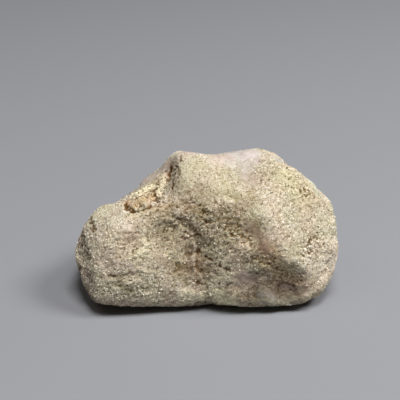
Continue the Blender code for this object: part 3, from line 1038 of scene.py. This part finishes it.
def paint_rind(material):
    """Sandy rind, with opal where it is bare."""
    material.use_nodes = True
    tree = material.node_tree
    shader = tree.nodes["Principled BSDF"]
    grain = texture(tree, VORONOI, SAND_GRAIN, "Color")
    grain = add_node(tree, "ShaderNodeSeparateColor", [grain])
    grit = texture(tree, NOISE, FINE_GRIT, "Fac", Detail=2.0)
    grit = add_node(tree, COLOUR_RAMP, [grit], stops=GRIT)
    clay = texture(tree, NOISE, CLAY_CLOUD, "Fac", Detail=3.0)
    clay = add_node(tree, COLOUR_RAMP, [clay], stops=CLAY)
    sand = add_node(tree, COLOUR_RAMP, [grain], stops=SAND)
    sand = lay_coats(tree, sand, (GRIT_STRENGTH, grit, "MIX"), (CLAY_STRENGTH, clay, "MIX"))
    tree.links.new(weathered(tree, sand), shader.inputs["Base Color"])
    bare = add_node(tree, ATTRIBUTE, output="Fac", attribute_name="bare")
    rough = add_node(tree, MATH, [bare, -OPAL_POLISH, RIND_ROUGHNESS], operation="MULTIPLY_ADD")
    tree.links.new(rough, shader.inputs["Roughness"])
    shader.inputs["IOR"].default_value = OPAL_IOR
    shader.inputs["Specular IOR Level"].default_value = RIND_SHINE


paint_rind(rind)
print("material:", nodule.data.materials[0].name)

# %% [markdown]
# ## Sand grains
# The relief gives the rind its lumps, but not the sharp, separate crystals that catch the light.
# These are real pieces of mesh: a few broken-looking grains, each with ten flat faces, scattered
# over the skin by Geometry Nodes, turned and sized at random and sunk a little into it. They thin
# out towards bare opal and pits, and stay clear of the floor. Particles would do it too, but one
# tree serves every kind of grain, each with sizes of its own.

# %% Make a few broken grains to scatter
GRAIN_SHAPES = 8
GRAIN_CORNERS = 7
GRAIN_TWIST = 0.7  # radians that a corner may stray round the grain
GRAIN_STRETCH = 0.2  # how much longer or shorter a grain may be along each axis
GOLDEN_TURN = math.pi * (1 + math.sqrt(5))  # spreads points evenly over a ball
chance = np.random.default_rng(41)


def grain_shape(number):
    """One angular grain about one unit across: the hull of a few points strewn over a ball."""
    turn = np.arange(GRAIN_CORNERS) + 0.5
    around = turn * GOLDEN_TURN + chance.uniform(0, GRAIN_TWIST, GRAIN_CORNERS)
    height = 1 - 2 * turn / GRAIN_CORNERS
    ring = np.sqrt(1 - height ** 2)
    corners = 0.5 * np.column_stack([ring * np.cos(around), ring * np.sin(around), height])
    corners *= 1 + chance.uniform(-GRAIN_STRETCH, GRAIN_STRETCH, 3)
    grain = bmesh.new()
    for corner in corners:
        grain.verts.new(corner)
    bmesh.ops.convex_hull(grain, input=grain.verts)
    mesh = bpy.data.meshes.new(f"grain_{number}")
    grain.to_mesh(mesh)
    grain.free()
    return bpy.data.objects.new(f"grain_{number}", mesh)


sand_box = bpy.data.collections.new("sand_box")
for number in range(GRAIN_SHAPES):
    sand_box.objects.link(grain_shape(number))

# %% [markdown]
# The scattering tree first strews points over the skin, and sinks them a little along its normals,
# so that each grain will sit in the skin rather than touch it at a corner.

# %% Strew points over the skin
CLEAR_OF_FLOOR = 0.35 * MM


def strew_points(tree, given):
    """Points on the skin, fewer where it is bare or pitted, and none close to the floor."""
    bare = add_node(tree, READ, {"Name": "bare"}, data_type="FLOAT")
    pit = add_node(tree, READ, {"Name": "pit"}, data_type="FLOAT")
    taken = add_node(tree, MATH, [bare, pit], operation="MAXIMUM")
    room = add_node(tree, MATH, [1.0, taken], operation="SUBTRACT")
    place = add_node(tree, "GeometryNodeInputPosition")
    height = add_node(tree, "ShaderNodeSeparateXYZ", [place], "Z")
    clear = add_node(tree, MATH, [height, CLEAR_OF_FLOOR], operation="GREATER_THAN")
    room = add_node(tree, MATH, [room, clear], operation="MULTIPLY")
    crowd = add_node(tree, MATH, [given["Per Area"], room], operation="MULTIPLY")
    spots = {"Mesh": given["Geometry"], "Density": crowd, "Seed": given["Seed"]}
    spots = add_node(tree, "GeometryNodeDistributePointsOnFaces", spots, None, distribute_method="RANDOM")
    inwards = add_node(tree, MATH, [given["Sink"], -1.0], operation="MULTIPLY")
    inwards = {0: spots["Normal"], "Scale": inwards}
    inwards = add_node(tree, VECTOR_MATH, inwards, operation="SCALE")
    return add_node(tree, "GeometryNodeSetPosition", {"Geometry": spots["Points"], "Offset": inwards})


print("points keep", round(CLEAR_OF_FLOOR / MM, 2), "mm clear of the floor")

# %% [markdown]
# Then it puts a grain from the box on each point, turned any way and of any width between two
# limits. Each grain keeps a number of its own, from which its material takes its shade.

# %% Build the scattering tree
RANDOM = "FunctionNodeRandomValue"


def scatter_tree():
    """Grains from a collection, set on the skin at random. Each keeps a shade of its own."""
    tree = new_tree(
        "scatter_grains", per_area="Float", least_width="Float", most_width="Float", sink="Float",
        seed="Int", grains="Collection", finish="Material",
    )
    given = add_node(tree, "NodeGroupInput", output=None)
    seed = given["Seed"]
    shade = add_node(tree, RANDOM, {"Seed": seed}, 1, data_type="FLOAT")
    points = {"Geometry": strew_points(tree, given), "Name": "shade", "Value": shade}
    points = add_node(tree, STORE, points, data_type="FLOAT", domain="POINT")
    box = {"Collection": given["Grains"], "Separate Children": True, "Reset Children": True}
    box = add_node(tree, "GeometryNodeCollectionInfo", box)
    # a Random Value node's limits are sockets 0 and 1 for a set of three, and 2 and 3 for a number
    turn = {0: (0, 0, 0), 1: (math.tau,) * 3, "Seed": seed}
    turn = add_node(tree, RANDOM, turn, data_type="FLOAT_VECTOR")
    next_seed = add_node(tree, MATH, [seed, 1.0], operation="ADD")
    width = {2: given["Least Width"], 3: given["Most Width"], "Seed": next_seed}
    width = add_node(tree, RANDOM, width, 1, data_type="FLOAT")
    grains = {"Points": points, "Instance": box, "Pick Instance": True, "Rotation": turn, "Scale": width}
    grains = add_node(tree, "GeometryNodeInstanceOnPoints", grains)
    end_tree(tree, grains, given["Finish"])
    return tree


scatter = scatter_tree()
print("tree:", scatter.name)

# %% [markdown]
# Three minerals make up the grains. Quartz is glassy and nearly white, in clear grains and smaller
# milky ones. Feldspar is duller, in cream grains and smaller tan ones. The darkest grains are
# ironstone. A grain is too small for a pattern of its own, so each is one flat shade, and its
# sparkle says how brightly its faces glint.

# %% The materials of the grains
QUARTZ = [(0.0, "#9e8d67"), (0.45, "#cbc1ae"), (0.8, "#eae5db"), (1.0, "#fbf8f2")]
FELDSPAR = [(0.0, "#634e26"), (0.3, "#958463"), (0.7, "#c3b7a1"), (1.0, "#ddd5c5")]
IRONSTONE = [(0.0, "#2a1d05"), (0.5, "#48330e"), (0.8, "#614c1f"), (1.0, "#736236")]


def grain_material(name, stops, roughness, sparkle):
    """Each grain has one shade, and is weathered as the skin that it sits on is."""
    material = bpy.data.materials.new(name)
    material.use_nodes = True
    tree = material.node_tree
    shader = tree.nodes["Principled BSDF"]
    shade = add_node(tree, ATTRIBUTE, output="Fac", attribute_name="shade")
    colour = add_node(tree, COLOUR_RAMP, [shade], stops=stops)
    tree.links.new(weathered(tree, colour), shader.inputs["Base Color"])
    shader.inputs["Roughness"].default_value = roughness
    shader.inputs["Specular IOR Level"].default_value = sparkle
    return material


print("shades:", len(QUARTZ), "of quartz,", len(FELDSPAR), "of feldspar,", len(IRONSTONE), "of ironstone")

# %% [markdown]
# Each kind of grain is a piece of its own, so that no piece is too heavy and each has one finish.
# All five use the one tree, on a copy of the skin, with a seed of their own.

# %% Scatter the five kinds of grain
GRAIN_SINK = 0.08 * MM
KINDS = {  # finish, shades, roughness, sparkle, grains in a square metre, widths in mm, seed, slot
    "clear_quartz_grains": ("clear_quartz_sand", QUARTZ, 0.35, 0.4, 4.5e6, 0.20, 0.44, 11, "grains"),
    "milky_quartz_grains": ("milky_quartz_sand", QUARTZ, 0.55, 0.3, 4.5e6, 0.16, 0.36, 17, "grains"),
    "cream_feldspar_grains": ("cream_feldspar_sand", FELDSPAR, 0.7, 0.2, 4.5e6, 0.20, 0.44, 23, "grains"),
    "tan_feldspar_grains": ("tan_feldspar_sand", FELDSPAR, 0.8, 0.2, 4.5e6, 0.16, 0.36, 29, "grains"),
    "ironstone_grains": (
        "dark_ironstone_sand", IRONSTONE, 0.65, 0.15, 3.5e6, 0.16, 0.34, 37, "dark_grains",
    ),
}


def scatter_kind(name, finish, stops, roughness, sparkle, per_area, least, most, seed, slot):
    """Scatters one kind of grain as a piece of its own."""
    piece = bpy.data.objects.new(name, nodule.data.copy())
    bpy.context.scene.collection.objects.link(piece)
    material = grain_material(finish, stops, roughness, sparkle)
    add_tree(
        piece, scatter, per_area=per_area, least_width=least * MM, most_width=most * MM,
        sink=GRAIN_SINK, seed=seed, grains=sand_box, finish=material,
    )
    apply_modifiers(piece)
    rest_on_floor(piece.data)
    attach(piece, "root")
    print(name, len(piece.data.polygons), "faces")


for name, kind in KINDS.items():
    scatter_kind(name, *kind)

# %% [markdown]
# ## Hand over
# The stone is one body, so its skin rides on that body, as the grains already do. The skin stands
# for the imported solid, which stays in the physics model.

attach(nodule, "root")
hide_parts(NODE)
